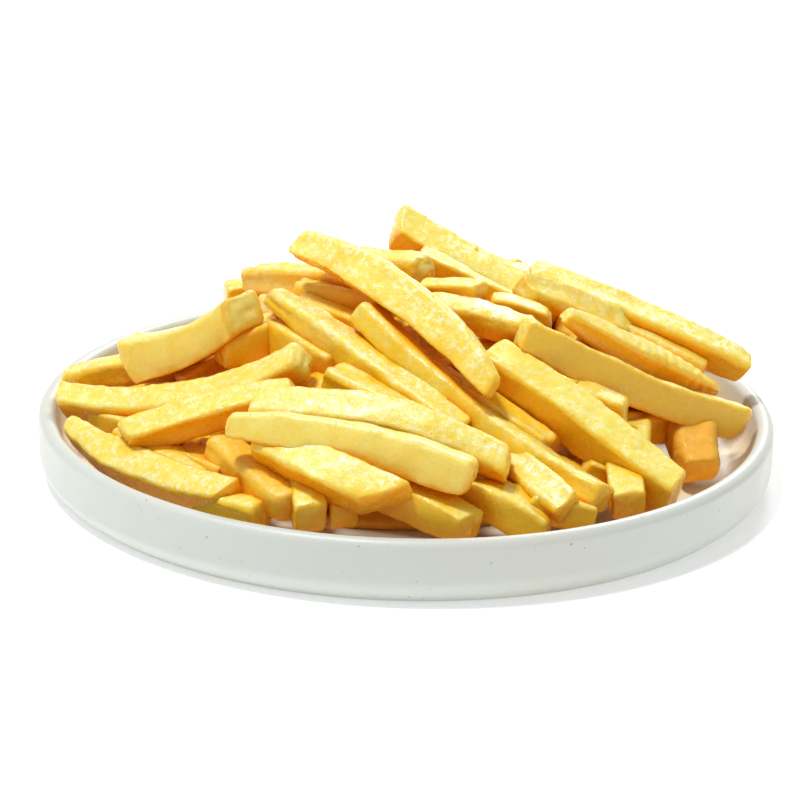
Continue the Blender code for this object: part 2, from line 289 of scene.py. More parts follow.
FRONT_FRIES = {
    "front_short": Fry((24, -57, 24), (41, -78, 18), 9.2, 8.8, roll=32, blister=1),
    "front_left": Fry(
        (-73, -43, 21), (-28, -49, 36), 9.2, 8.8, bow=1.5, roll=27, tail_yaw=2, tail_round=1.6
    ),
    "front_mid": Fry(
        (-39, -51, 33), (26, -71, 27), 10, 9.4, bow=3.3, swing=-2.8, roll=40, tip_share=0.8, blister=0.8,
        ribs=0.05,
    ),
    "front_top": Fry(
        (-44, -66, 34), (17, -81, 27), 9.6, 10.4, bow=2, roll=-17, tail_share=0.65, tail_round=2,
        tip_round=2, tint=-0.4, blister=0.2,
    ),
    "front_lit": Fry(
        (-37, -65, 29), (-4, -86, 22.5), 10.2, 9.6, bow=1.2, roll=36, tip_share=1, tip_yaw=-4.5, blister=0.7
    ),
    "front_rim": Fry((-11, -72, 23), (17, -84, 15), 9.8, 9.3, tip_yaw=-2, tint=0.1),
    "front_rim_right": Fry((8, -66, 21), (36, -79, 12), 9.6, 9, bow=2),
    "rim_tips": Fry((31, -72, 18), (47, -72, 14), 9, 8),
    # shaded_left, flat_shaded and front_strip lie in the heap's shade, and their brown tint is painted shade.
    "shaded_left": Fry((-47, -52, 23), (-28, -80, 17), 9.5, 8.5, tint=0.6, rough=1.5),
    "front_end": Fry((-26, -62, 22), (-23, -84, 16), 9, 9),
    "front_end_low": Fry((-18, -66, 19), (-15, -80, 15), 8, 8, tint=0.3),
    "flat_shaded": Fry((-59, -45, 17), (-45, -60, 17), 9, 8, tint=0.5),
    "front_strip": Fry((-74, -33, 17), (-51, -61, 15), 9, 9, tint=0.35),
    "broken_end": Fry((-52, -65, 13.5), (-35, -79, 15), 9, 8, rough=1.6),
    "rim_left": Fry(
        (-89, -26, 17.5), (-43, -72.5, 17), 10, 9.4, bow=-1.5, swing=3.2, roll=30, tail_share=0.5
    ),
}

# Rings of the fries that the front view hides: distance, count, from and to headings, lift, lengths
HIDDEN_RINGS = (
    (74, 8, 28, 122, 0, (50, 66)),
    (55, 8, 10, 172, 1, (50, 68)),
    (36, 7, 8, 176, 0, (50, 66)),
    (52, 3, 128, 186, -4, (42, 54)),
    (50, 3, -28, 24, -6, (40, 50)),
    (16, 2, 50, 140, 0, (50, 60)),
    (62, 5, 172, 232, -9, (34, 48)),
    (58, 3, 300, 340, -8, (34, 46)),
    (30, 4, 215, 345, -6, (36, 48)),
    (13, 5, 20, 380, -13, (38, 46)),
)


class PlateSettings(bpy.types.PropertyGroup):
    """Sizes and colours of the plate."""

    radius: FloatProperty(
        name="Radius", description="Half of the plate's width", default=(PLATE_HIGH.x - PLATE_LOW.x) / 2,
        unit="LENGTH",
    )
    height: FloatProperty(
        name="Height", description="Height of the lip over the table", default=PLATE_HIGH.z, unit="LENGTH"
    )
    steps: IntProperty(
        name="Steps around", description="Faces round the plate", default=240, min=24
    )
    glaze: FloatVectorProperty(
        name="Glaze", description="Colour of the glaze", default=(0.64, 0.68, 0.64), size=3, subtype="COLOR"
    )
    # The oil film's colour is partly oil and partly painted warm light bounced from the fries.
    oil: FloatVectorProperty(
        name="Oil film",
        description="Colour of the glaze under the fries, where oil and light from them warm it",
        default=(0.93, 0.82, 0.55), size=3, subtype="COLOR",
    )
    speckle: FloatVectorProperty(
        name="Speckle", description="Colour of the iron specks in the glaze", default=(0.30, 0.29, 0.26),
        size=3, subtype="COLOR",
    )


class FriesSettings(bpy.types.PropertyGroup):
    """Relief and colours of the fries."""

    spacing: FloatProperty(
        name="Spacing", description="Distance between the loops of a fry that shows", default=0.8 * MM,
        unit="LENGTH",
    )
    blister: FloatProperty(
        name="Blister height", description="Height of the small blisters on the skin", default=0.07 * MM,
        unit="LENGTH",
    )
    wander: FloatProperty(
        name="Unevenness", description="Depth of the broad hollows and swellings", default=0.32 * MM,
        unit="LENGTH",
    )
    beads: FloatProperty(
        name="Beads", description="Crisp beads on a square metre of the fries' edges", default=60000.0,
        min=0.0,
    )
    lemon: FloatVectorProperty(
        name="Pale potato", description="Colour of the palest skin", default=(0.96, 0.80, 0.15), size=3,
        subtype="COLOR",
    )
    # The gold colour is that of the more fried skin and also painted shade, which dim faces get from the
    # light mask.
    golden: FloatVectorProperty(
        name="Golden potato", description="Colour of the more fried skin", default=(0.95, 0.61, 0.02),
        size=3, subtype="COLOR",
    )
    crisp: FloatVectorProperty(
        name="Crisp edge", description="Colour of the crisp edges", default=(0.90, 0.48, 0.03), size=3,
        subtype="COLOR",
    )
    # Painted shade: the deep orange that the skin takes where the baked light mask says little light reaches.
    deep: FloatVectorProperty(
        name="Deep potato", description="Colour of the skin deep in the heap", default=(0.92, 0.37, 0.005),
        size=3, subtype="COLOR",
    )


class StageSettings(bpy.types.PropertyGroup):
    """Camera, light and floor."""

    lens: FloatProperty(
        name="Lens", description="Focal length for a sensor 36 mm wide, in millimetres", default=130.7
    )
    key: FloatProperty(
        name="Key light", description="Power of the large light overhead", default=19.0, unit="POWER"
    )
    back: FloatProperty(
        name="Back light", description="Power of the low light behind, which makes the oil shine",
        default=8.0, unit="POWER",
    )
    surround: FloatProperty(
        name="Surrounding light", description="Strength of the white light from all round", default=0.42
    )
    floor: FloatVectorProperty(
        name="Floor", description="Colour of the floor", default=(0.95, 0.95, 0.95), size=3, subtype="COLOR"
    )


def add_object(name, mesh):
    obj = bpy.data.objects.new(name, mesh)
    bpy.context.scene.collection.objects.link(obj)
    return obj


def put_on(obj, node):
    """The piece rides on the part's body and stands for its node, which it hides."""
    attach(obj, BODY)
    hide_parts(node)


def smooth_step(value, low, high):
    share = np.clip((value - low) / (high - low), 0, 1)
    return share * share * (3 - 2 * share)


LATTICE = np.random.default_rng(NOISE_SEED).uniform(-1, 1, (NOISE_SIDE,) * 3)


def noise_at(points, size):
    """Smooth random values from -1 to 1 in space, with features of a size."""
    cell = points / size
    low = np.floor(cell).astype(int)
    part = cell - low
    part = part * part * (3 - 2 * part)
    total = np.zeros(points.shape[:-1])
    for corner in np.ndindex(2, 2, 2):
        place = (low + corner) % NOISE_SIDE
        weight = np.prod(np.where(corner, part, 1 - part), axis=-1)
        total += weight * LATTICE[place[..., 0], place[..., 1], place[..., 2]]
    return total


def arc(middle_x, middle_z, radius, start, end, count):
    """Points on an arc in the profile's plane, angles in degrees from +X."""
    points = []
    for i in range(count + 1):
        angle = math.radians(start + (end - start) * i / count)
        points.append((middle_x + radius * math.cos(angle), middle_z + radius * math.sin(angle)))
    return points


def plate_profile(plate):
    """Half the plate's section, from the middle of its floor over the lip to under it."""
    lip_x = plate.radius - LIP_RADIUS
    lip_z = plate.height - LIP_RADIUS
    inner_x = lip_x - LIP_RADIUS - WALL_LEAN
    foot_bevel = 0.8 * MM
    profile = [(0.0, FLOOR_TOP)]
    profile += [((inner_x - FLOOR_CORNER) * i / 24, FLOOR_TOP) for i in range(1, 24)]
    profile += arc(inner_x - FLOOR_CORNER, FLOOR_TOP + FLOOR_CORNER, FLOOR_CORNER, -90, -4, 14)
    profile += arc(lip_x, lip_z, LIP_RADIUS, 172, 0, 22)
    profile += arc(plate.radius - WALL_CORNER, WALL_CORNER, WALL_CORNER, 0, -60, 12)
    profile += arc(FOOT_RADIUS - foot_bevel, foot_bevel, foot_bevel, -30, -90, 4)
    profile += arc(FOOT_RADIUS - FOOT_WIDTH + foot_bevel, foot_bevel, foot_bevel, -90, -150, 4)
    profile += [(FOOT_RADIUS - FOOT_WIDTH - FLOOR_UNDER, FLOOR_UNDER), (0.0, FLOOR_UNDER)]
    return profile


class TreeBuilder:
    """Adds nodes to a node tree and links them, so that each tree reads from top to bottom."""

    def __init__(self, tree):
        self.tree = tree

    def put(self, made, values):
        """Gives a node's inputs values, or links them to other nodes' outputs."""
        for key, value in values.items():
            if isinstance(value, bpy.types.NodeSocket):
                self.tree.links.new(value, made.inputs[key])
            else:
                made.inputs[key].default_value = value
        return made

    def node(self, kind, settings=None, **inputs):
        """A node with some settings, and inputs by name, or by number after an s."""
        made = self.tree.nodes.new(kind)
        for name, value in (settings or {}).items():
            setattr(made, name, value)
        values = {}
        for name, value in inputs.items():
            key = int(name[1:]) if name[1:].isdigit() else name.replace("_", " ")
            values[key] = value
        return self.put(made, values)

    def group(self, tree, values):
        """A shader node group, placed with its values."""
        made = self.tree.nodes.new("ShaderNodeGroup")
        made.node_tree = tree
        return self.put(made, values)

    def math(self, operation, *values):
        made = self.node("ShaderNodeMath", {"operation": operation})
        return self.put(made, dict(enumerate(values))).outputs[0]

    def mix(self, share, first, second):
        """A colour between two, by a share."""
        made = self.node("ShaderNodeMix", {"data_type": "RGBA", "clamp_factor": True})
        return self.put(made, {0: share, 6: first, 7: second}).outputs[2]

    def ramp(self, value, low, high, to_low=0.0, to_high=1.0):
        """A smooth step from to_low to to_high as value goes from low to high."""
        made = self.node("ShaderNodeMapRange", {"interpolation_type": "SMOOTHSTEP"}, Value=value)
        ends = {"From Min": low, "From Max": high, "To Min": to_low, "To Max": to_high}
        return self.put(made, ends).outputs[0]

    def noise(self, place, scale, detail=2.0, roughness=0.5):
        made = self.node("ShaderNodeTexNoise", Vector=place, Scale=scale, Detail=detail, Roughness=roughness)
        return made.outputs["Fac"]


def new_tree(name, kind, inputs, outputs):
    """An empty node tree with named sockets, its builder and its group input."""
    tree = bpy.data.node_groups.new(name, kind)
    for side, sockets in (("INPUT", inputs), ("OUTPUT", outputs)):
        for label, socket in sockets:
            tree.interface.new_socket(label, in_out=side, socket_type=socket)
    return tree, TreeBuilder(tree), tree.nodes.new("NodeGroupInput")


def geometry_tree(name, *inputs):
    """An empty geometry tree with a geometry input and output and the named number inputs."""
    geometry = (("Geometry", GEOMETRY),)
    return new_tree(name, "GeometryNodeTree", geometry + inputs, geometry)


def new_material(name):
    """A material with nodes, the builder of its tree and its shader."""
    material = bpy.data.materials.new(name)
    material.use_nodes = True
    return material, TreeBuilder(material.node_tree), material.node_tree.nodes["Principled BSDF"]


def finish_tree(build, geometry, material):
    """Realises what the tree made, gives it its material and puts it out."""
    real = build.node("GeometryNodeRealizeInstances", Geometry=geometry).outputs[0]
    dressed = build.node("GeometryNodeSetMaterial", Geometry=real, Material=material).outputs[0]
    smooth = build.node("GeometryNodeSetShadeSmooth", Geometry=dressed).outputs[0]
    build.tree.links.new(smooth, build.tree.nodes.new("NodeGroupOutput").inputs[0])


def run_tree(obj, tree, values):
    """Runs the tree on the object with the named values and keeps the result as its mesh."""
    modifier = obj.modifiers.new(tree.name, "NODES")
    modifier.node_group = tree
    for item in tree.interface.items_tree:
        if item.in_out == "INPUT" and item.name in values:
            modifier[item.identifier] = values[item.name]
    bpy.context.view_layer.update()
    graph = bpy.context.evaluated_depsgraph_get()
    made = bpy.data.meshes.new_from_object(obj.evaluated_get(graph))
    obj.modifiers.remove(modifier)
    obj.data = made
    return made


def turning_tree(material):
    """Turns the input's row of points round the Z axis."""
    tree, build, given = geometry_tree("turn_profile", ("Steps around", WHOLE))
    line = given.outputs[0]
    count = build.node("GeometryNodeAttributeDomainSize", Geometry=line).outputs[0]
    columns = build.math("ADD", given.outputs["Steps around"], 1.0)
    grid = build.node("GeometryNodeMeshGrid", Size_X=1.0, Size_Y=1.0, Vertices_X=columns, Vertices_Y=count)
    row = build.math("FLOORED_MODULO", build.node("GeometryNodeInputIndex").outputs[0], count)
    here = build.node("GeometryNodeInputPosition").outputs[0]
    kind = {"data_type": "FLOAT_VECTOR"}
    profile = build.node("GeometryNodeSampleIndex", kind, Geometry=line, Value=here, Index=row)
    point = build.node("ShaderNodeSeparateXYZ", Vector=profile.outputs[0])
    across = build.node("ShaderNodeSeparateXYZ", Vector=here)
    angle = build.math("MULTIPLY", across.outputs[0], math.tau)
    x = build.math("MULTIPLY", point.outputs[0], build.math("COSINE", angle))
    y = build.math("MULTIPLY", point.outputs[0], build.math("SINE", angle))
    place = build.node("ShaderNodeCombineXYZ", X=x, Y=y, Z=point.outputs[2]).outputs[0]
    moved = build.node("GeometryNodeSetPosition", Geometry=grid.outputs[0], Position=place).outputs[0]
    merged = build.node("GeometryNodeMergeByDistance", Geometry=moved, Distance=0.00001).outputs[0]
    finish_tree(build, merged, material)
    return tree


def bead_tree(material):
    """Scatters small crisp beads over a mesh, most of them on its edges."""
    sizes = (("Density", NUMBER), ("Smallest", NUMBER), ("Largest", NUMBER))
    tree, build, given = geometry_tree("scatter_beads", *sizes, ("Seed", WHOLE))
    skin, density, smallest, largest, seed = given.outputs[:5]
    mask = build.node("GeometryNodeInputNamedAttribute", Name="bead").outputs["Attribute"]
    spread = build.math("MULTIPLY", density, build.ramp(mask, 0.2, 0.9, 0.06, 1.0))
    points = build.node("GeometryNodeDistributePointsOnFaces", Mesh=skin, Density=spread, Seed=seed)
    ball = build.node("GeometryNodeMeshIcoSphere", Radius=1.0, Subdivisions=1).outputs[0]
    size = build.node("FunctionNodeRandomValue", s2=smallest, s3=largest, Seed=seed).outputs[1]
    beads = build.node("GeometryNodeInstanceOnPoints", Points=points.outputs[0], Instance=ball, Scale=size)
    finish_tree(build, beads.outputs[0], material)
    return tree


def speckle_group():
    """Fine dark specks at random, for stoneware glaze."""
    inputs = (("Vector", VECTOR), ("Scale", NUMBER), ("Size", NUMBER))
    tree, build, given = new_tree("speckle", "ShaderNodeTree", inputs, (("Mask", NUMBER),))
    place, scale, size = given.outputs[:3]
    cells = build.node("ShaderNodeTexVoronoi", Vector=place, Scale=scale)
    tone = build.node("ShaderNodeSeparateColor", Color=cells.outputs["Color"])
    reach = build.math("MULTIPLY", size, build.ramp(tone.outputs[0], 0.72, 1.0))
    near = build.math("LESS_THAN", cells.outputs["Distance"], reach)
    shade = build.math("MULTIPLY", near, build.ramp(tone.outputs[1], 0.0, 1.0, 0.25, 0.9))
    build.put(tree.nodes.new("NodeGroupOutput"), {0: shade})
    return tree


def glaze_material(plate):
    """Semi-matt off-white glaze with sparse iron specks, and on its floor oil with painted warm bounce light,
    and turned rings with painted reflection.
    """
    material, build, shader = new_material("off_white_glaze")
    place = build.node("ShaderNodeTexCoord").outputs["Object"]
    specks = build.group(speckle_group(), {"Vector": place, "Scale": 560.0, "Size": 0.17})
    cloud = build.ramp(build.noise(place, 28.0, 3.0), 0.35, 0.7)
    warm = (*[c * k for c, k in zip(plate.glaze, GLAZE_WARMTH)], 1.0)
    body = build.mix(cloud, (*plate.glaze, 1.0), warm)
    spot = build.node("ShaderNodeSeparateXYZ", Vector=place)
    flat = build.node("ShaderNodeCombineXYZ", X=spot.outputs[0], Y=spot.outputs[1]).outputs[0]
    reach = build.node("ShaderNodeVectorMath", {"operation": "LENGTH"}, Vector=flat).outputs["Value"]
    # Inside the plate the glaze turns warm: partly oil, partly painted light bounced from the fries.
    above = build.ramp(spot.outputs[2], *OIL_AND_BOUNCE_HEIGHT)
    inside = build.math("MULTIPLY", build.ramp(reach, *OIL_AND_BOUNCE_REACH), above)
    body = build.mix(build.math("MULTIPLY", inside, OIL_AND_BOUNCE_SHARE), body, (*plate.oil, 1.0))
    # Turned rings on the floor, tinted brown: partly the glaze's rings, partly painted reflection of the
    # fries.
    turning = build.node("ShaderNodeCombineXYZ", X=reach).outputs[0]
    rings = build.ramp(build.noise(turning, 700.0, 4.0, 0.6), 0.45, 0.65, 0.0, 0.35)
    body = build.mix(build.math("MULTIPLY", inside, rings), body, RING_STREAKS_AND_REFLECTION)
    grain = build.noise(place, 1100.0, 4.0, 0.65)
    bump = build.node("ShaderNodeBump", Strength=0.5, Distance=0.0002, Height=grain)
    build.put(shader, {
        "Base Color": build.mix(specks.outputs[0], body, (*plate.speckle, 1.0)),
        "Roughness": build.ramp(build.noise(place, 60.0, 2.0), 0.3, 0.7, 0.34, 0.48),
        "Normal": bump.outputs[0],
        "Specular IOR Level": 0.5,
    })
    return material


def skin_group():
    """Skin of fried potato: flecks of blister, broad patches, the fine relief's height, and dots."""
    inputs = (("Vector", VECTOR), ("Blister", NUMBER))
    outputs = [(name, NUMBER) for name in ("Flecks", "Patches", "Height", "Dots")]
    tree, build, given = new_tree("fried_skin", "ShaderNodeTree", inputs, outputs)
    place = given.outputs["Vector"]
    patches = build.ramp(build.noise(place, 190.0, 3.0), 0.38, 0.64)
    spots = build.ramp(build.noise(place, 620.0, 5.0, 0.7), 0.45, 0.60)
    thick = build.ramp(build.noise(place, 260.0, 2.0), 0.25, 0.6)
    amount = build.ramp(given.outputs["Blister"], 0.0, 1.0, 0.35, 1.0)
    flecks = build.math("MULTIPLY", build.math("MULTIPLY", spots, thick), amount)
    dots = build.ramp(build.noise(place, 1150.0, 3.0, 0.65), 0.52, 0.68)
    grain = build.noise(place, 1500.0, 3.0, 0.65)
    pits = build.noise(place, 420.0, 3.0, 0.55)
    height = build.math("ADD", build.math("MULTIPLY", flecks, 0.15), build.math("MULTIPLY", grain, 0.35))
    height = build.math("ADD", height, build.math("MULTIPLY", pits, 0.8))
    build.put(tree.nodes.new("NodeGroupOutput"), {0: flecks, 1: patches, 2: height, 3: dots})
    return tree


def potato_material(fries, name, shade):
    """Fried potato: pale and gold skin, crisp edges, pale cut ends, and a little oil, with painted light and
    shade from the baked light mask.
    """
    material, build, shader = new_material(name)
    place = build.node("ShaderNodeTexCoord").outputs["Object"]
    edge, end, bead, tint, blister, light = (
        build.node("ShaderNodeAttribute", {"attribute_name": word}).outputs["Fac"] for word in MASKS
    )
    skin_tree = bpy.data.node_groups.get("fried_skin") or skin_group()
    skin = build.group(skin_tree, {"Vector": place, "Blister": blister})
    lemon, golden, crisp, deep = (
        (*colour, 1.0) for colour in (fries.lemon, fries.golden, fries.crisp, fries.deep)
    )
    fried = build.math("ADD", build.math("MULTIPLY", skin.outputs["Patches"], 0.35), tint)
    # Painted shade: where the baked light mask is low, and over the whole core by its shade share, the skin
    # turns gold.
    painted_shade_share = build.math("ADD", build.ramp(light, 0.84, 0.38), shade)
    colour = build.mix(build.math("ADD", fried, painted_shade_share), lemon, golden)
    colour = build.mix(build.ramp(tint, 0.3, 1.0), colour, BROWNED)
    colour = build.mix(build.ramp(tint, -0.1, -1.0), colour, GREENISH)
    # Cut ends show their pale colour mostly where the light mask is high: painted light on a real pale cut.
    cut = build.math("MULTIPLY", end, build.ramp(light, 0.15, 0.6, 0.15, 0.7))
    colour = build.mix(cut, colour, CUT_END)
    # Painted shade: deep orange where the light mask is low.
    colour = build.mix(build.ramp(light, 0.40, 0.05), colour, deep)
    colour = build.mix(build.math("MULTIPLY", skin.outputs["Dots"], 0.35), colour, golden)
    beaded = build.math("MULTIPLY", bead, skin.outputs["Dots"])
    # Blister flecks and beads in pale white, shown only where the light mask is high: partly real blisters,
    # partly painted highlight.
    blister_and_highlight = build.math("ADD", skin.outputs["Flecks"], beaded)
    blister_and_highlight = build.math("MULTIPLY", blister_and_highlight, build.ramp(light, 0.35, 0.95, 0.0, 1.0))
    blister_and_highlight = build.math("MULTIPLY", blister_and_highlight, build.ramp(tint, 0.3, 0.8, 1.0, 0.2))
    colour = build.mix(blister_and_highlight, colour, BLISTER_WHITE_AND_HIGHLIGHT)
    broken = build.ramp(build.noise(place, 300.0, 3.0, 0.6), 0.35, 0.65)
    crust = build.math("MULTIPLY", edge, build.math("MULTIPLY", broken, 0.6))
    oil = build.ramp(build.noise(place, 180.0, 2.0), 0.35, 0.7, 0.22, 0.42)
    dry = build.math("MULTIPLY", build.ramp(tint, 0.2, 0.9), 0.45)
    bump = build.node("ShaderNodeBump", Strength=0.7, Distance=0.0005, Height=skin.outputs["Height"])
    build.put(shader, {
        "Base Color": build.mix(crust, colour, crisp),
        "Roughness": build.math("ADD", oil, dry),
        "Normal": bump.outputs[0],
        "Subsurface Weight": 0.45,
        "Subsurface Radius": (1.0, 0.8, 0.25),
        "Subsurface Scale": 0.001,
        "Specular IOR Level": 0.5,
        "Coat Weight": 0.12,
        "Coat Roughness": 0.18,
    })
    return material


def heap_height(x, y):
    """The height of the fries' middle lines at a place on the plate, in mm."""
    offset = Vector((x, y))
    fade = 1.0 - offset.length / HEAP_REACH
    offset -= HEAP_TOP * fade
    toward_gap = max(0.0, math.cos(math.atan2(y, x) - BACK_LEFT_HEADING)) ** 2
    reach = HEAP_REACH - BACK_LEFT_LOSS * toward_gap
    share = min(offset.length / reach, 1.0)
    return HEAP_FOOT + (HEAP_HEIGHT - HEAP_FOOT) * (1.0 - share**HEAP_POWER)


def dish_gaps(points):
    """The free distances from points in mm to the plate's floor, wall and lip."""
    radius = np.hypot(points[..., 0], points[..., 1])
    height = points[..., 2]
    lip_x = (PLATE_HIGH.x - LIP_RADIUS) / MM
    lip_z = (PLATE_HIGH.z - LIP_RADIUS) / MM
    lip, corner, floor = LIP_RADIUS / MM, FLOOR_CORNER / MM, FLOOR_TOP / MM
    wall_x = lip_x - lip - WALL_LEAN / MM
    over = np.hypot(radius - lip_x, height - lip_z) - lip
    bend = corner - np.hypot(radius - (wall_x - corner), height - (floor + corner))
    inside = np.minimum(wall_x - radius, height - floor)
    low_corner = (radius > wall_x - corner) & (height < floor + corner)
    return np.where(height > lip_z, over, np.where(low_corner, bend, inside))


def stick_frame(tail, tip, roll):
    """The directions along, across and up a stick."""
    along = (tip - tail).normalized()
    across = along.cross(Vector((0, 0, 1))).normalized()
    upward = across.cross(along)
    turn = Matrix.Rotation(roll, 3, along)
    return along, turn @ across, turn @ upward


def section_points(half_width, half_depth, radii, hollows, arc_steps, flat_steps):
    """Rounded sections, one a ring, as (rings, around, 2), and each point's distance from an edge.

    radii are the corners' (rings, 4) and hollows how far each face's middle sinks.
    """
    signs = ((1, 1), (-1, 1), (-1, -1), (1, -1))
    arcs = []
    for corner, (side, rise) in enumerate(signs):
        radius = radii[:, corner, None]
        angle = math.pi / 2 * (corner + np.arange(arc_steps + 1) / arc_steps)[None, :]
        across = side * (half_width[:, None] - radius) + radius * np.cos(angle)
        upward = rise * (half_depth[:, None] - radius) + radius * np.sin(angle)
        away = radius * np.abs(angle - math.pi / 2 * (corner + 0.5))
        arcs.append((np.stack((across, upward), -1), away))
    points, edges = [], []
    for corner in range(4):
        here, away = arcs[corner]
        there, next_away = arcs[(corner + 1) % 4]
        points.append(here)
        edges.append(away)
        share = (np.arange(1, flat_steps) / flat_steps)[None, :, None]
        flat = here[:, -1:] * (1 - share) + there[:, :1] * share
        length = np.linalg.norm(there[:, :1] - here[:, -1:], axis=-1)
        heading = math.pi / 2 * (corner + 1)
        inward = -np.array((math.cos(heading), math.sin(heading)))
        flat = flat + inward * (4 * share * (1 - share) * hollows[:, corner, None, None])
        behind = share[..., 0] * length + away[:, -1:]
        ahead = (1 - share[..., 0]) * length + next_away[:, :1]
        points.append(flat)
        edges.append(np.minimum(behind, ahead))
    return np.concatenate(points, 1), np.concatenate(edges, 1)


def ring_plan(length, rims, spacing, half, cap_steps, rim_steps):
    """Each ring's distance along the fry, size share, distance from an end's rim, and end (-1, 0, 1)."""
    plan = []
    for side in (-1, 1):
        rim = rims[0 if side < 0 else 1]
        flat = 1 - rim / half
        rings = []
        for i in range(cap_steps):
            share = flat * (i + 0.6) / cap_steps
            rings.append((0.0, share, (flat - share) * half, side))
        for i in range(rim_steps + 1):
            angle = math.pi / 2 * i / rim_steps
            away = rim * abs(angle - math.pi / 4)
            size = flat + rim / half * math.sin(angle)
            rings.append((rim * (1 - math.cos(angle)), size, away, side * (angle < 1)))
        plan.append(rings)
    start, stop = rims[0], length - rims[1]
    count = max(3, round((stop - start) / spacing))
    body = []
    for i in range(1, count):
        where = start + (stop - start) * i / count
        body.append((where, 1.0, min(where, length - where), 0))
    tip = [(length - where, share, away, side) for where, share, away, side in reversed(plan[1])]
    return np.array(plan[0] + body + tip)


def shape_stick(name, fry, spacing, arc_steps, flat_steps, relief):
    """The points (rings, around, 3) of one fry in mm, and its masks: rims, cut ends and all edges."""
    draws = random.Random(name)
    tail, tip = Vector(fry.tail), Vector(fry.tip)
    length = (tip - tail).length
    along, across, upward = (np.array(v) for v in stick_frame(tail, tip, math.radians(fry.roll)))
    rims = (draws.uniform(*RIM_RADII), draws.uniform(*RIM_RADII))
    half = min(fry.width, fry.depth) / 2
    plan = ring_plan(length, rims, spacing, half, cap_steps=5, rim_steps=3)
    where, size, rim_away, end = plan.T
    share = where / length
    rings = len(plan)
    origin = np.array([draws.uniform(0, 900) for _ in range(3)])
    line = np.stack((where, np.zeros(rings), np.zeros(rings)), -1) + origin
    radii = np.empty((rings, 4))
    hollows = np.empty((rings, 4))
    for corner in range(4):
        shift = np.array((0, 37.0 * corner, 11.0))
        softer = draws.uniform(*CORNER_RADII) + 0.8 * max(0, fry.rough - 1)
        radii[:, corner] = softer + 0.4 * noise_at(line + shift, 9.0)
        hollows[:, corner] = draws.uniform(*FACE_HOLLOWS) + 0.4 * noise_at(line + shift + 300, 14.0)
    taper = 1 - (1 - fry.tail_share) * (1 - share) ** 4 - (1 - fry.tip_share) * share**4
    wide = fry.width / 2 * taper * (1 + THICKNESS_WAVE * noise_at(line + 600, THICKNESS_WAVE_LENGTH))
    deep = fry.depth / 2 * taper * (1 + THICKNESS_WAVE * noise_at(line + 700, THICKNESS_WAVE_LENGTH))
    flat, edge_away = section_points(wide, deep, radii, hollows, arc_steps, flat_steps)
    flat = flat * size[:, None, None]
    twist = math.radians(draws.uniform(-MOST_TWIST, MOST_TWIST)) * (share - 0.5)
    turned = np.stack((
        flat[..., 0] * np.cos(twist)[:, None] - flat[..., 1] * np.sin(twist)[:, None],
        flat[..., 0] * np.sin(twist)[:, None] + flat[..., 1] * np.cos(twist)[:, None],
    ), -1)
    arch = 4 * share * (1 - share)
    bow = fry.bow * arch + 0.5 * noise_at(line + 100, 22.0)
    swing = fry.swing * arch + 0.8 * noise_at(line + 200, 24.0)
    height = flat[..., 1] / (fry.depth / 2)
    side = flat[..., 0] / (fry.width / 2)
    off_axis = (np.abs(side) ** 3 + np.abs(height) ** 3) / 1.4
    tail_yaw = fry.tail_yaw + draws.uniform(-MOST_END_YAW, MOST_END_YAW)
    tip_yaw = fry.tip_yaw + draws.uniform(-MOST_END_YAW, MOST_END_YAW)
    tail_slant = fry.tail_slant + draws.uniform(-MOST_END_SLANT, MOST_END_SLANT)
    tip_slant = fry.tip_slant + draws.uniform(-MOST_END_SLANT, MOST_END_SLANT)
    at_tail = ((1 - share) ** 6)[:, None]
    at_tip = (share**6)[:, None]
    slant = (tail_slant * height + tail_yaw * side + fry.tail_round * off_axis) * at_tail
    slant += (tip_slant * height + tip_yaw * side - fry.tip_round * off_axis) * at_tip
    middle = np.array(tail) + along * where[:, None] + upward * bow[:, None] + across * swing[:, None]
    points = middle[:, None] + along * slant[..., None]
    points = points + across * turned[..., :1] + upward * turned[..., 1:]
    long_edge = np.exp(-((edge_away / 0.7) ** 2)) * smooth_step(size, 0.9, 1.0)[:, None]
    edge = np.maximum(0.35 * long_edge, np.exp(-((rim_away / 0.6) ** 2))[:, None])
    bead = np.maximum(long_edge, edge)
    cap = np.broadcast_to((np.abs(end) * smooth_step(rim_away, 0.2, 1.2))[:, None], edge.shape)
    own = np.stack((
        np.broadcast_to(where[:, None], edge.shape) + slant,
        flat[..., 0],
        flat[..., 1],
    ), -1) + origin
    push = fry.rough * relief[1] * noise_at(own, 7.0)
    push += fry.rough * relief[0] * (1.2 * noise_at(own, 1.5) + 0.8 * noise_at(own + 400, 2.6))
    push += 0.4 * fry.rough * relief[1] * noise_at(own + 450, 3.6)
    push += 0.25 * bead * noise_at(own + 500, 2.0) + 0.35 * cap * noise_at(own + 200, 1.6)
    if fry.ribs:
        lean = own[..., 0] + 0.35 * own[..., 1] + 1.2 * noise_at(own + 800, 6.0)
        reach = smooth_step(share, 0.3, 0.55)[:, None]
        uneven = 0.5 + 0.5 * noise_at(own + 900, 4.0)
        phase = lean * math.tau / RIB_SPACING + 3 * noise_at(own + 950, 9.0)
        push += fry.ribs * reach * uneven * np.sin(phase)
    points = points + outward(points) * push[..., None]
    return points, edge, cap, bead


def sky_directions(count, toward):
    """Directions spread over the sky, and how much light comes from each."""
    turn = math.pi * (3 - math.sqrt(5))
    height = 0.08 + 0.9 * (np.arange(count) + 0.5) / count
    flat = np.sqrt(1 - height**2)
    angle = turn * np.arange(count)
    directions = np.stack((flat * np.cos(angle), flat * np.sin(angle), height), -1)
    weights = 1 + 6 * np.maximum(directions @ toward, 0) ** 6
    return directions, weights


def coarse_grid(rings, around):
    """Every few rings and points of a stick's grid."""
    picked = np.unique(np.linspace(0, rings - 1, max(4, rings // 4)).astype(int))
    return picked, np.arange(0, around, 4)


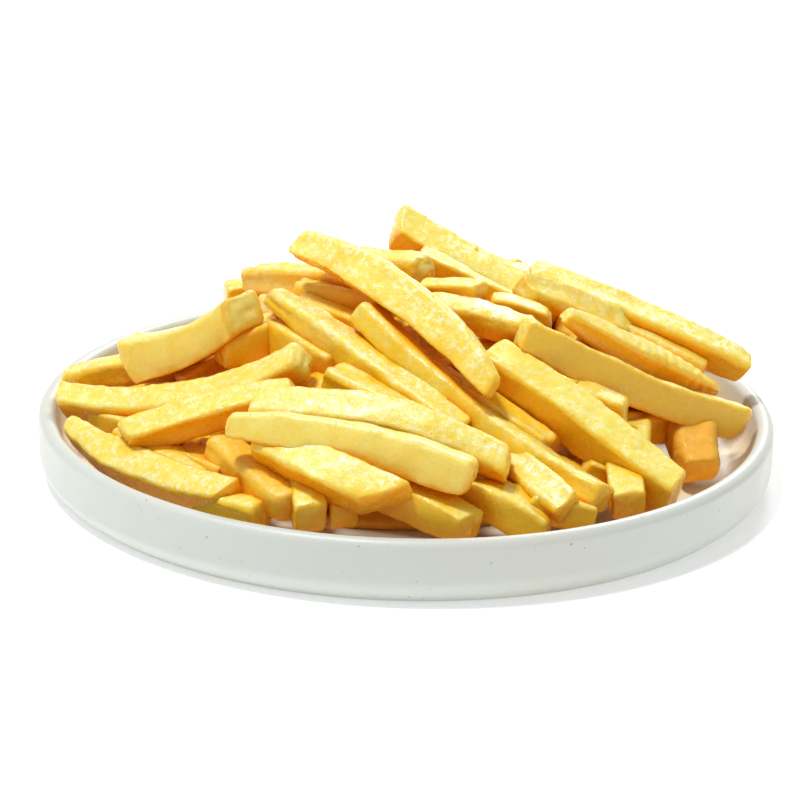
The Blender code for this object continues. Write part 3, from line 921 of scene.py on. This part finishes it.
def heap_tree(sticks):
    """A search tree of coarse copies of all the sticks."""
    points, faces = [], []
    for grid, *_ in sticks.values():
        picked, columns = coarse_grid(*grid.shape[:2])
        coarse = grid[np.ix_(picked, columns)]
        start = len(points)
        points += coarse.reshape(-1, 3).tolist()
        points += [coarse[0].mean(0).tolist(), coarse[-1].mean(0).tolist()]
        faces += stick_faces(len(picked), len(columns), start)
    return BVHTree.FromPolygons(points, faces)


def sky_share(grid, tree, directions, weights):
    """How much of the sky's light reaches each point of a stick, from 0 to 1."""
    rings, around = grid.shape[:2]
    picked, columns = coarse_grid(rings, around)
    places = grid[np.ix_(picked, columns)]
    normals = outward(grid)[np.ix_(picked, columns)]
    starts = places + normals * 1.3
    facing = np.maximum(normals @ directions.T, 0) * weights
    full = (np.maximum(directions[:, 2], 0) * weights).sum()
    light = np.zeros(places.shape[:2])
    for ring, column, ray in zip(*np.nonzero(facing > 0.02)):
        hit = tree.ray_cast(Vector(starts[ring, column]), Vector(directions[ray]), 90)
        if hit[0] is None:
            light[ring, column] += facing[ring, column, ray]
    light = light / full
    along = np.empty((rings, len(columns)))
    for column in range(len(columns)):
        along[:, column] = np.interp(np.arange(rings), picked, light[:, column])
    where = np.arange(around) / 4
    low = np.floor(where).astype(int) % len(columns)
    part = where - np.floor(where)
    return along[:, low] * (1 - part) + along[:, (low + 1) % len(columns)] * part


def outward(points):
    """Unit normals of a closed stick's grid, (rings, around, 3)."""
    before = np.concatenate((points[:1], points[:-1]))
    after = np.concatenate((points[1:], points[-1:]))
    round_it = np.roll(points, -1, axis=1) - np.roll(points, 1, axis=1)
    normal = np.cross(after - before, round_it)
    return normal / np.maximum(np.linalg.norm(normal, axis=-1, keepdims=True), 1e-9)


def stick_faces(rings, around, start):
    """Quads along the stick and a fan at each end, for points laid ring by ring and then two poles."""
    faces = []
    for ring in range(rings - 1):
        for i in range(around):
            a = start + ring * around + i
            b = start + ring * around + (i + 1) % around
            faces.append((a, a + around, b + around, b))
    tail_pole = start + rings * around
    tip_pole = tail_pole + 1
    last = start + (rings - 1) * around
    for i in range(around):
        j = (i + 1) % around
        faces.append((tail_pole, start + i, start + j))
        faces.append((tip_pole, last + j, last + i))
    return faces


def fries_mesh(name, laid, sticks, light):
    """One mesh of many fries, each a closed stick, with its masks as attributes."""
    points, faces = [], []
    masks = {word: [] for word in MASKS}
    start = 0
    for label, fry in laid.items():
        grid, edge, cap, bead = sticks[label]
        rings, around = edge.shape
        poles = np.stack((grid[0].mean(0), grid[-1].mean(0)))
        points.append(np.concatenate((grid.reshape(-1, 3), poles)))
        faces += stick_faces(rings, around, start)
        count = rings * around + 2
        tint = fry.tint + random.Random(label + "tint").uniform(-0.12, 0.12)
        lit = light[label]
        values = (
            np.append(edge, (0, 0)),
            np.append(cap, (1, 1)),
            np.append(bead, (0, 0)),
            np.full(count, tint),
            np.full(count, fry.blister),
            np.append(lit, (lit[0].mean(), lit[-1].mean())),
        )
        for word, value in zip(MASKS, values):
            masks[word].append(value)
        start += count
    mesh = bpy.data.meshes.new(name)
    mesh.from_pydata((np.concatenate(points) * MM).tolist(), [], faces)
    for word, values in masks.items():
        attribute = mesh.attributes.new(word, "FLOAT", "POINT")
        attribute.data.foreach_set("value", np.concatenate(values).astype(np.float32))
    mesh.shade_smooth()
    return mesh


def rough_gap(fry):
    """The free distance between the dish and a plain stick in the fry's place."""
    tail, tip = Vector(fry.tail), Vector(fry.tip)
    along, across, upward = (np.array(v) for v in stick_frame(tail, tip, math.radians(fry.roll)))
    share = np.linspace(0, 1, 6)[:, None, None]
    taper = 1 - PLAIN_SHRINK * (1 - share) ** 4 - PLAIN_SHRINK * share**4
    half_wide, half_deep = fry.width / 2, fry.depth / 2
    cut = PLAIN_CORNER * min(fry.width, fry.depth)
    corners = []
    for side in (-1, 1):
        for rise in (-1, 1):
            corners.append((side * half_wide, rise * (half_deep - cut)))
            corners.append((side * (half_wide - cut), rise * half_deep))
    flat = np.array(corners)[None, :, :] * taper
    middle = np.array(tail) * (1 - share) + np.array(tip) * share + upward * fry.bow * 4 * share * (1 - share)
    points = middle + across * flat[..., :1] + upward * flat[..., 1:]
    return dish_gaps(points).min()


def hidden_fry(draws, distance, angle, lift, lengths):
    """A fry laid on the heap by the rule, with random heading, length and thickness."""
    heading = angle + math.radians(90 + draws.uniform(-HEADING_SPREAD, HEADING_SPREAD))
    half = draws.uniform(*lengths) / 2
    width = draws.uniform(*HIDDEN_WIDTHS)
    depth = draws.uniform(*HIDDEN_DEPTHS)
    bow = draws.uniform(*HIDDEN_BOWS)
    roll = draws.uniform(*HIDDEN_ROLLS)
    step = Vector((math.cos(heading), math.sin(heading))) * half
    centre = Vector((math.cos(angle), math.sin(angle))) * distance
    ends = []
    for place in (centre - step, centre + step):
        height = heap_height(place.x, place.y) + lift
        ends.append((place.x, place.y, max(height, LOWEST_MIDDLE)))
    return Fry(ends[0], ends[1], width, depth, bow, 0.0, roll)


def hidden_fries():
    """The fries at the back and inside, each pulled inwards until it clears the dish."""
    draws = random.Random(HIDDEN_SEED)
    laid = {}
    for ring, (distance, count, first, last, lift, lengths) in enumerate(HIDDEN_RINGS):
        for i in range(count):
            share = (i + 0.5 + draws.uniform(-0.25, 0.25)) / count
            angle = math.radians(first + (last - first) * share)
            state = draws.getstate()
            for pull in range(PULL_TRIES):
                draws.setstate(state)
                fry = hidden_fry(draws, distance - PULL_STEP * pull, angle, lift, lengths)
                if rough_gap(fry) > DISH_GAP:
                    laid[f"hidden_{ring}_{i}"] = fry
                    break
    return laid


def core_mesh():
    """A low lumpy dome under the fries, with a flat underside, and its light mask, darker lower down."""
    rings, around = 28, 96
    underside = FLOOR_TOP / MM + DISH_GAP
    points = []
    for ring in range(1, rings + 1):
        reach = ring / rings
        for i in range(around):
            angle = math.tau * i / around
            place = CORE_MIDDLE + Vector((math.cos(angle), math.sin(angle))) * (reach * CORE_RADIUS)
            top = heap_height(place.x, place.y) - CORE_DEPTH
            height = underside + CORE_EDGE_HEIGHT + (top - underside) * (1 - reach**CORE_EDGE_POWER)
            points.append((place.x, place.y, height))
    for i in range(around):
        x, y, _ = points[(rings - 1) * around + i]
        points.append((x, y, underside))
    points = np.array(points)
    lumps = 2.0 * noise_at(points * (1, 1, 0.5), 9.0)
    points[:-around, 2] += lumps[:-around] * smooth_step(points[:-around, 2], underside + 1, underside + 8)
    middle = CORE_MIDDLE
    apex = (middle.x, middle.y, heap_height(middle.x, middle.y) - CORE_DEPTH)
    points = np.concatenate((points, [apex, (middle.x, middle.y, underside)]))
    mesh = bpy.data.meshes.new("core")
    mesh.from_pydata((points * MM).tolist(), [], stick_faces(rings + 1, around, 0))
    light = mesh.attributes.new("light", "FLOAT", "POINT")
    light.data.foreach_set("value", CORE_LIGHT * smooth_step(points[:, 2], 22, 40))
    mesh.shade_smooth()
    return mesh


class FRIES_OT_plate(bpy.types.Operator):
    """Turn the plate from its section and glaze it"""

    bl_idname = "fries.make_plate"
    bl_label = "Make the plate"

    def execute(self, context):
        plate = context.scene.fries_plate
        profile = plate_profile(plate)
        line = bpy.data.meshes.new("plate_section")
        line.from_pydata([(x, 0.0, z) for x, z in profile], [(i, i + 1) for i in range(len(profile) - 1)], [])
        obj = add_object("plate_glazed", line)
        run_tree(obj, turning_tree(glaze_material(plate)), {"Steps around": plate.steps})
        put_on(obj, "plate")
        return {"FINISHED"}


class FRIES_OT_fries(bpy.types.Operator):
    """Lay every fry that shows and every fry behind and inside the heap"""

    bl_idname = "fries.make_fries"
    bl_label = "Lay the fries"

    def execute(self, context):
        fries = context.scene.fries_heap
        material = potato_material(fries, "fried_potato", 0.0)
        relief = (fries.blister / MM, fries.wander / MM)
        hidden = list(hidden_fries().items())
        groups = {
            "fries_top": (TOP_FRIES, 1.0, 5, 7),
            "fries_middle": (MIDDLE_FRIES, 1.0, 5, 7),
            "fries_right": (RIGHT_FRIES, 1.0, 5, 7),
            "fries_front": (FRONT_FRIES, 1.0, 5, 7),
            "fries_behind": (dict(hidden[:BEHIND_COUNT]), 1.4, 4, 5),
            "fries_inside": (dict(hidden[BEHIND_COUNT:]), 1.6, 3, 4),
        }
        sticks = {}
        for laid, coarse, arc_steps, flat_steps in groups.values():
            for label, fry in laid.items():
                spacing = fries.spacing / MM * coarse
                sticks[label] = shape_stick(label, fry, spacing, arc_steps, flat_steps, relief)
        tree = heap_tree(sticks)
        directions, weights = sky_directions(SKY_RAYS, np.array(KEY_PLACE.normalized()))
        light = {label: sky_share(grid, tree, directions, weights) for label, (grid, *_) in sticks.items()}
        for name, (laid, *_) in groups.items():
            obj = add_object(name, fries_mesh(name, laid, sticks, light))
            obj.data.materials.append(material)
            put_on(obj, "fries")
        return {"FINISHED"}


class FRIES_OT_beads(bpy.types.Operator):
    """Scatter small crisp beads over the fries that show"""

    bl_idname = "fries.scatter_beads"
    bl_label = "Scatter the beads"

    def execute(self, context):
        fries = context.scene.fries_heap
        tree = bead_tree(bpy.data.materials["fried_potato"])
        for seed, part in enumerate(("top", "middle", "right", "front")):
            source = bpy.data.objects["fries_" + part]
            obj = add_object("beads_" + part, source.data.copy())
            run_tree(obj, tree, {
                "Density": fries.beads,
                "Smallest": BEAD_SIZES[0],
                "Largest": BEAD_SIZES[1],
                "Seed": seed,
            })
            put_on(obj, "fries")
        return {"FINISHED"}


class FRIES_OT_core(bpy.types.Operator):
    """Fill the inside of the heap under the fries"""

    bl_idname = "fries.make_core"
    bl_label = "Fill the heap"

    def execute(self, context):
        obj = add_object("heap_core", core_mesh())
        # The core's material is painted shade: its shade share and its low light mask turn it gold and
        # orange.
        obj.data.materials.append(potato_material(context.scene.fries_heap, "shaded_inner_potato", 0.6))
        put_on(obj, "fries")
        return {"FINISHED"}


def add_camera(stage):
    """The camera at the photographed angle, turned a little about its own axis."""
    forward = (CAMERA_TARGET - CAMERA_PLACE).normalized()
    right = forward.cross(Vector((0, 0, 1))).normalized()
    upward = right.cross(forward)
    right, upward = (
        right * math.cos(CAMERA_TILT) + upward * math.sin(CAMERA_TILT),
        upward * math.cos(CAMERA_TILT) - right * math.sin(CAMERA_TILT),
    )
    data = bpy.data.cameras.new("camera")
    data.lens = stage.lens
    data.sensor_width = SENSOR_WIDTH
    camera = bpy.data.objects.new("camera", data)
    turn = Matrix((right, upward, -forward)).transposed().to_4x4()
    camera.matrix_world = Matrix.Translation(CAMERA_PLACE) @ turn
    bpy.context.scene.collection.objects.link(camera)
    bpy.context.scene.camera = camera


def add_area_light(name, place, aim_height, size, power, colour):
    data = bpy.data.lights.new(name, "AREA")
    data.shape = "DISK"
    data.size = size
    data.energy = power
    data.color = colour
    light = bpy.data.objects.new(name, data)
    light.location = place
    light.rotation_mode = "QUATERNION"
    light.rotation_quaternion = (Vector((0, 0, aim_height)) - place).to_track_quat("-Z", "Y")
    bpy.context.scene.collection.objects.link(light)


def add_floor(stage):
    """A plain pale floor, lit a little from within so that it stays white."""
    sides = ((-1, -1), (1, -1), (1, 1), (-1, 1))
    mesh = bpy.data.meshes.new("floor")
    mesh.from_pydata([(x * FLOOR_REACH, y * FLOOR_REACH, 0.0) for x, y in sides], [], [(0, 1, 2, 3)])
    material, build, shader = new_material("pale_floor")
    build.put(shader, {
        "Base Color": (*stage.floor, 1.0),
        "Roughness": 0.9,
        "Specular IOR Level": 0.1,
        "Emission Color": WHITE,
        "Emission Strength": 0.3,
    })
    mesh.materials.append(material)
    add_object("floor", mesh)


class FRIES_OT_stage(bpy.types.Operator):
    """Set up the camera, the light and the floor"""

    bl_idname = "fries.make_stage"
    bl_label = "Set the stage"

    def execute(self, context):
        stage = context.scene.fries_stage
        add_camera(stage)
        add_floor(stage)
        add_area_light("back", BACK_PLACE, aim_height=0.04, size=0.35, power=stage.back, colour=BACK_TINT)
        add_area_light("key", KEY_PLACE, aim_height=0.03, size=0.3, power=stage.key, colour=KEY_TINT)
        world = bpy.data.worlds.new("white_surround")
        world.use_nodes = True
        surround = world.node_tree.nodes["Background"]
        TreeBuilder(world.node_tree).put(surround, {"Color": WHITE, "Strength": stage.surround})
        context.scene.world = world
        context.scene.view_settings.view_transform = "Standard"
        return {"FINISHED"}


class FRIES_PT_panel(bpy.types.Panel):
    """Lists the settings and the steps"""

    bl_idname = "FRIES_PT_panel"
    bl_label = "Fries"
    bl_space_type = "VIEW_3D"
    bl_region_type = "UI"
    bl_category = "Fries"

    def draw(self, context):
        scene = context.scene
        for group in (scene.fries_plate, scene.fries_heap, scene.fries_stage):
            box = self.layout.box()
            for name in group.__annotations__:
                box.prop(group, name)
        for operator in OPERATORS:
            self.layout.operator(operator.bl_idname)


OPERATORS = (FRIES_OT_stage, FRIES_OT_plate, FRIES_OT_core, FRIES_OT_fries, FRIES_OT_beads)
GROUPS = {"fries_plate": PlateSettings, "fries_heap": FriesSettings, "fries_stage": StageSettings}


def register():
    for cls in (*GROUPS.values(), *OPERATORS, FRIES_PT_panel):
        bpy.utils.register_class(cls)
    for name, group in GROUPS.items():
        setattr(bpy.types.Scene, name, PointerProperty(type=group))


def unregister():
    for name in GROUPS:
        delattr(bpy.types.Scene, name)
    for cls in reversed((*GROUPS.values(), *OPERATORS, FRIES_PT_panel)):
        bpy.utils.unregister_class(cls)


def main():
    register()
    bpy.ops.fries.make_stage()
    bpy.ops.fries.make_plate()
    bpy.ops.fries.make_core()
    bpy.ops.fries.make_fries()
    bpy.ops.fries.scatter_beads()


if __name__ == "__main__":
    main()
